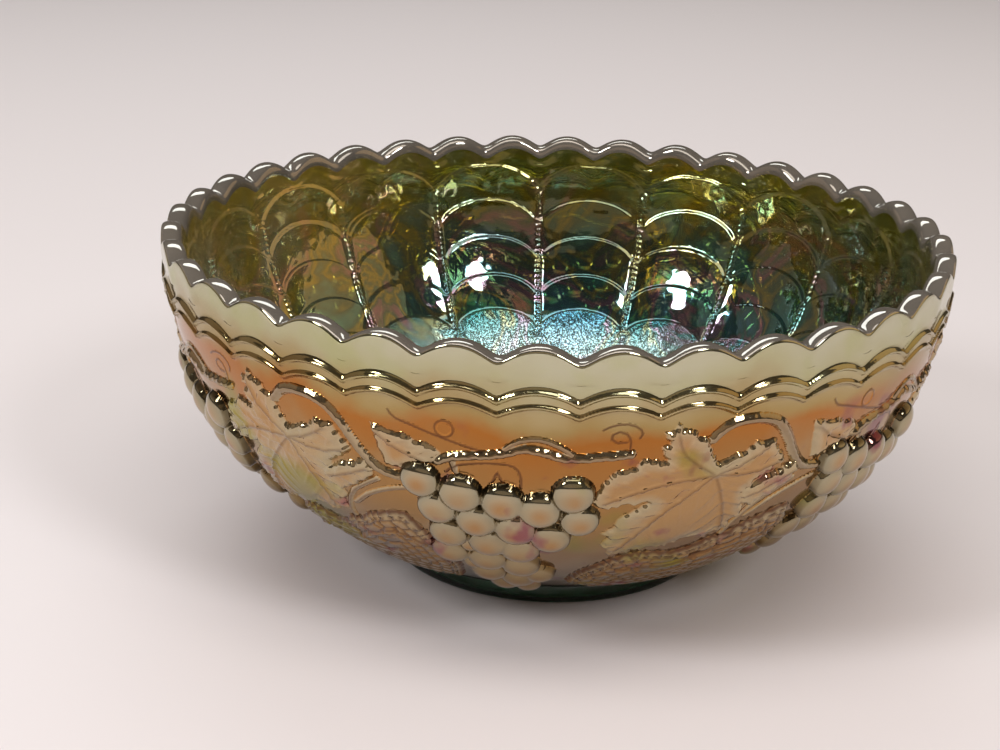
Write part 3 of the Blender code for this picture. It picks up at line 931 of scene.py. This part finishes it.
def ground_colour(n):
    """Amber below the moulded band and pale khaki above it, dulled and streaked in places."""
    cloud = n.noise(30.0, 4.0)
    height = n.math("ADD", height_of(n), n.span(cloud, 0.3, 0.7, -0.06, 0.06))
    ground = n.ramp(height, GROUND)
    dull = n.span(n.noise(42.0, 3.0), 0.52, 0.72, 0.0, 0.6)
    dull = n.math("MULTIPLY", dull, n.span(height, 0.80, 0.62))
    ground = n.mix(dull, ground, DULL_SILVER)
    streaks = n.span(n.noise(55.0, 5.0), 0.54, 0.70, 0.0, 0.5)
    streaks = n.math("MULTIPLY", streaks, n.span(height, 0.80, 0.88))
    return n.mix(streaks, ground, YELLOW_GREEN)


def clouded(n, colour):
    """Rose and grass-green clouds in the lustre, below the moulded band."""
    below_band = n.span(height_of(n), 0.78, 0.70)
    rosy = n.math("MULTIPLY", n.span(n.noise(85.0, 3.0), 0.60, 0.70), below_band)
    colour = n.mix(n.math("MULTIPLY", rosy, 0.75), colour, ROSE)
    grassy = n.math("MULTIPLY", n.span(n.noise(26.0, 3.0), 0.60, 0.68), below_band)
    return n.mix(n.math("MULTIPLY", grassy, 0.6), colour, GRASS_GREEN)


def relief_colour(n):
    """The lustre on the fruit and leaves: silvery edges, amber middles, and painted shade as thin
    dark lines and as dark rims on the grapes.
    """
    low = n.span(height_of(n), 0.22, 0.52)
    streaks = n.span(n.noise(60.0, 5.0), 0.38, 0.62, -0.3, 0.3)
    leaf = n.ramp(n.math("ADD", n.mask("leaf"), streaks), LEAF_MASK)
    leaf = n.mix(low, n.mix(0.75, leaf, LOW_LEAF), leaf)
    colour = n.mix(n.span(n.mask("leaf"), 0.0, 0.10, 0.0, 0.8), ground_colour(n), leaf)
    # Dark at each grape's edge: painted shade in the gaps between the grapes
    grape = n.ramp(n.mask("grape"), GRAPE_RAMP_WITH_GAP_SHADE)
    grape = n.mix(n.span(n.noise(95.0, 2.0), 0.42, 0.65, 0.0, 0.5), grape, SILVER_GRAPE)
    grape = n.mix(low, n.mix(0.6, grape, LOW_GRAPE), grape)
    colour = clouded(n, n.mix(n.span(n.mask("grape"), 0.0, 0.02), colour, grape))
    # Painted shade: thin dark lines along the veins, strands and grooves
    return n.mix(n.math("MULTIPLY", n.mask("painted_shade"), 0.9), colour, PAINTED_SHADE_COLOUR)


def uneven_roughness(n, least, most):
    n.feed("Roughness", n.span(n.noise(180.0, 3.0), 0.3, 0.7, least, most))


def lustre_material():
    """The outside film over the glass: satin metal that lets some light through."""
    n = Nodes("lustre")
    n.feed("Base Color", clouded(n, ground_colour(n)))
    n.feed("Metallic", n.ramp(height_of(n), OUTSIDE_METAL))
    uneven_roughness(n, 0.07, 0.13)
    n.set(Transmission_Weight=1.0, IOR=GLASS_IOR)
    n.absorb(GLASS_TINT, GLASS_DENSITY)
    return n.material


def relief_material():
    """The same film where it lies on the raised fruit and leaves."""
    n = Nodes("relief_lustre")
    n.feed("Base Color", relief_colour(n))
    uneven_roughness(n, 0.06, 0.11)
    n.set(Metallic=0.95)
    return n.material


def inner_bump(n, stipple):
    """Fine stipple on the floor and slight ripples in all of the inside."""
    cells = n.add("ShaderNodeTexVoronoi")
    cells.inputs["Scale"].default_value = STIPPLE_SCALE
    n.link(n.place(), cells.inputs["Vector"])
    dots = n.math("MULTIPLY", n.span(cells.outputs["Distance"], 0.0, 0.6, 1.0, 0.0), stipple)
    bump = n.add("ShaderNodeBump")
    bump.inputs["Strength"].default_value = BUMP_STRENGTH
    bump.inputs["Distance"].default_value = BUMP_DISTANCE
    n.link(n.math("ADD", dots, n.math("MULTIPLY", n.noise(90.0, 2.0), RIPPLE_LIFT)),
           bump.inputs["Height"])
    n.feed("Normal", bump.outputs["Normal"])
    n.feed("Coat Normal", bump.outputs["Normal"])


def inner_material():
    """The inside: glossy glass with an oily film, warmer on one side where a warm glow is painted as
    a painted reflection, and a stippled floor.
    """
    n = Nodes("inner_glass")
    film = n.ramp(n.noise(38.0, 4.0, 0.9), OILY_FILM)
    height = height_of(n)
    # A warm glow painted on the side towards -X, brighter and less clear there: a painted reflection
    painted_glow = n.span(n.part_of_place("X"), -0.035, -0.085)
    base = n.mix(n.math("MULTIPLY", painted_glow, 0.95), n.ramp(height, INSIDE), PAINTED_GLOW_INSIDE)
    n.feed("Base Color", n.mix(n.ramp(height, OILY_STRENGTH), base, film))
    clear = n.span(height, 0.55, 0.85, 0.97, 0.90)
    n.feed("Transmission Weight", n.math("SUBTRACT", clear, n.math("MULTIPLY", painted_glow, 0.12)))
    stipple = n.mask("stipple")
    n.feed("Metallic", n.span(stipple, 0.0, 1.0, 0.30, 0.74))
    n.set(Roughness=0.06, IOR=GLASS_IOR, Coat_Weight=1.0, Coat_Roughness=0.04)
    inner_bump(n, stipple)
    n.absorb(GLASS_TINT, GLASS_DENSITY)
    return n.material


def lip_material():
    """The rim: polished smoky glass."""
    n = Nodes("lip_glass")
    n.feed("Base Color", n.ramp(n.noise(90.0), LIP_SMOKE))
    n.set(Metallic=0.45, Roughness=0.05, Transmission_Weight=0.45, IOR=GLASS_IOR, Coat_Weight=0.6)
    n.absorb(GLASS_TINT, GLASS_DENSITY)
    return n.material


def green_material(name):
    """Bare deep green glass, very slightly streaked."""
    n = Nodes(name)
    n.feed("Base Color", n.ramp(n.noise(120.0), FOOT_STREAKS))
    n.set(Roughness=0.03, Transmission_Weight=1.0, IOR=GLASS_IOR)
    n.absorb(FOOT_TINT, FOOT_DENSITY)
    return n.material


# The stage, in metres

CAMERA_PLACE = (0.0, -0.4931, 0.2315)
CAMERA_YAW = -1.752
CAMERA_PITCH = 20.2
CAMERA_ROLL = 1.51
CAMERA_LENS = 64.36
SENSOR_WIDTH = 36

FLOOR_RADIUS = 4
FLOOR_COLOUR = (0.765, 0.695, 0.695, 1)
WORLD_COLOUR = (0.95, 0.80, 0.66, 1)
WORLD_STRENGTH = 0.09

# Lamps point at this height on the bowl's axis
AIM_HEIGHT = 0.05
COOL, WHITE, CREAM = (0.95, 0.98, 1.0), (1, 1, 1), (1.0, 0.99, 0.95)
# Soft lamps that glossy surfaces don't show, as name: (place, size, watts)
FILLS = {"overhead": ((0.0, -0.3, 2.4), (3.0, 3.0), 13.4),
         "front_fill": ((-1.4, -1.9, 0.9), (1.5, 1.0), 4)}
# Lamps and cards that the glass reflects, as name: (azimuth, elevation, distance), size,
# watts and colour
REFLECTED = {"right_window": ((38, 38, 1.8), (0.40, 0.50), 10, COOL),
             "left_window": ((-55, 36, 1.8), (0.40, 0.50), 12, COOL),
             "room": ((0, 16, 2.2), (3.4, 0.9), 2.0, (1.0, 0.78, 0.58)),
             "ceiling": ((-5, 70, 1.8), (2.4, 0.80), 13, CREAM),
             "right_card": ((98, 24, 1.8), (1.9, 1.3), 3.4, (1.0, 0.70, 0.36)),
             "left_card": ((-98, 22, 1.8), (1.8, 1.2), 1.2, (1.0, 0.78, 0.60)),
             "back_glow": ((-170, 50, 1.8), (1.5, 0.5), 8, (0.90, 0.98, 1.0))}


def make_camera():
    camera = bpy.data.objects.new("camera", bpy.data.cameras.new("camera"))
    camera.data.lens = CAMERA_LENS
    camera.data.sensor_width = SENSOR_WIDTH
    yaw = Matrix.Rotation(radians(-CAMERA_YAW), 4, "Z")
    pitch = Matrix.Rotation(radians(90 - CAMERA_PITCH), 4, "X")
    roll = Matrix.Rotation(radians(CAMERA_ROLL), 4, "Z")
    camera.matrix_world = Matrix.Translation(CAMERA_PLACE) @ yaw @ pitch @ roll
    bpy.context.scene.collection.objects.link(camera)
    bpy.context.scene.camera = camera


def make_floor():
    bpy.ops.mesh.primitive_circle_add(vertices=96, radius=FLOOR_RADIUS, fill_type="NGON")
    floor = bpy.context.object
    floor.name = "floor"
    n = Nodes("floor")
    n.set(Base_Color=FLOOR_COLOUR, Roughness=0.9)
    floor.data.materials.append(n.material)


def make_lamp(name, place, size, power, colour, shine):
    """An oval lamp aimed at the bowl. Shine says whether glossy surfaces show it."""
    data = bpy.data.lights.new(name, "AREA")
    data.shape = "ELLIPSE"
    data.size, data.size_y = size
    data.energy = power
    data.color = colour
    lamp = bpy.data.objects.new(name, data)
    lamp.location = place
    aim = Vector((0, 0, AIM_HEIGHT)) - Vector(place)
    lamp.rotation_euler = aim.to_track_quat("-Z", "Y").to_euler()
    lamp.visible_glossy = shine
    bpy.context.scene.collection.objects.link(lamp)


def from_bowl(azimuth, elevation, distance):
    """A place seen from the bowl in a direction. An azimuth of 0 is the viewer's side."""
    flat = distance * np.cos(radians(elevation))
    return (float(flat * np.sin(radians(azimuth))), float(-flat * np.cos(radians(azimuth))),
            float(distance * np.sin(radians(elevation))) + AIM_HEIGHT)


def make_light():
    world = bpy.data.worlds.new("studio")
    bpy.context.scene.world = world
    world.use_nodes = True
    background = world.node_tree.nodes["Background"]
    background.inputs["Color"].default_value = WORLD_COLOUR
    background.inputs["Strength"].default_value = WORLD_STRENGTH
    for name, (place, size, power) in FILLS.items():
        make_lamp(name, place, size, power, WHITE, shine=False)
    for name, (direction, size, power, colour) in REFLECTED.items():
        make_lamp(name, from_bowl(*direction), size, power, colour, shine=True)


def main():
    make_camera()
    make_floor()
    make_light()
    bpy.context.scene.view_settings.view_transform = "Standard"
    body = make_body([lustre_material(), inner_material(), lip_material(),
                      green_material("underside_glass")])
    foot = make_foot(green_material("foot_glass"))
    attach(body, "root")
    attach(foot, "root")
    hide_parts("bowl_wall")
    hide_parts("foot_ring")
    for film, node in make_relief(relief_material()):
        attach(film, "root")
        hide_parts(node)


main()
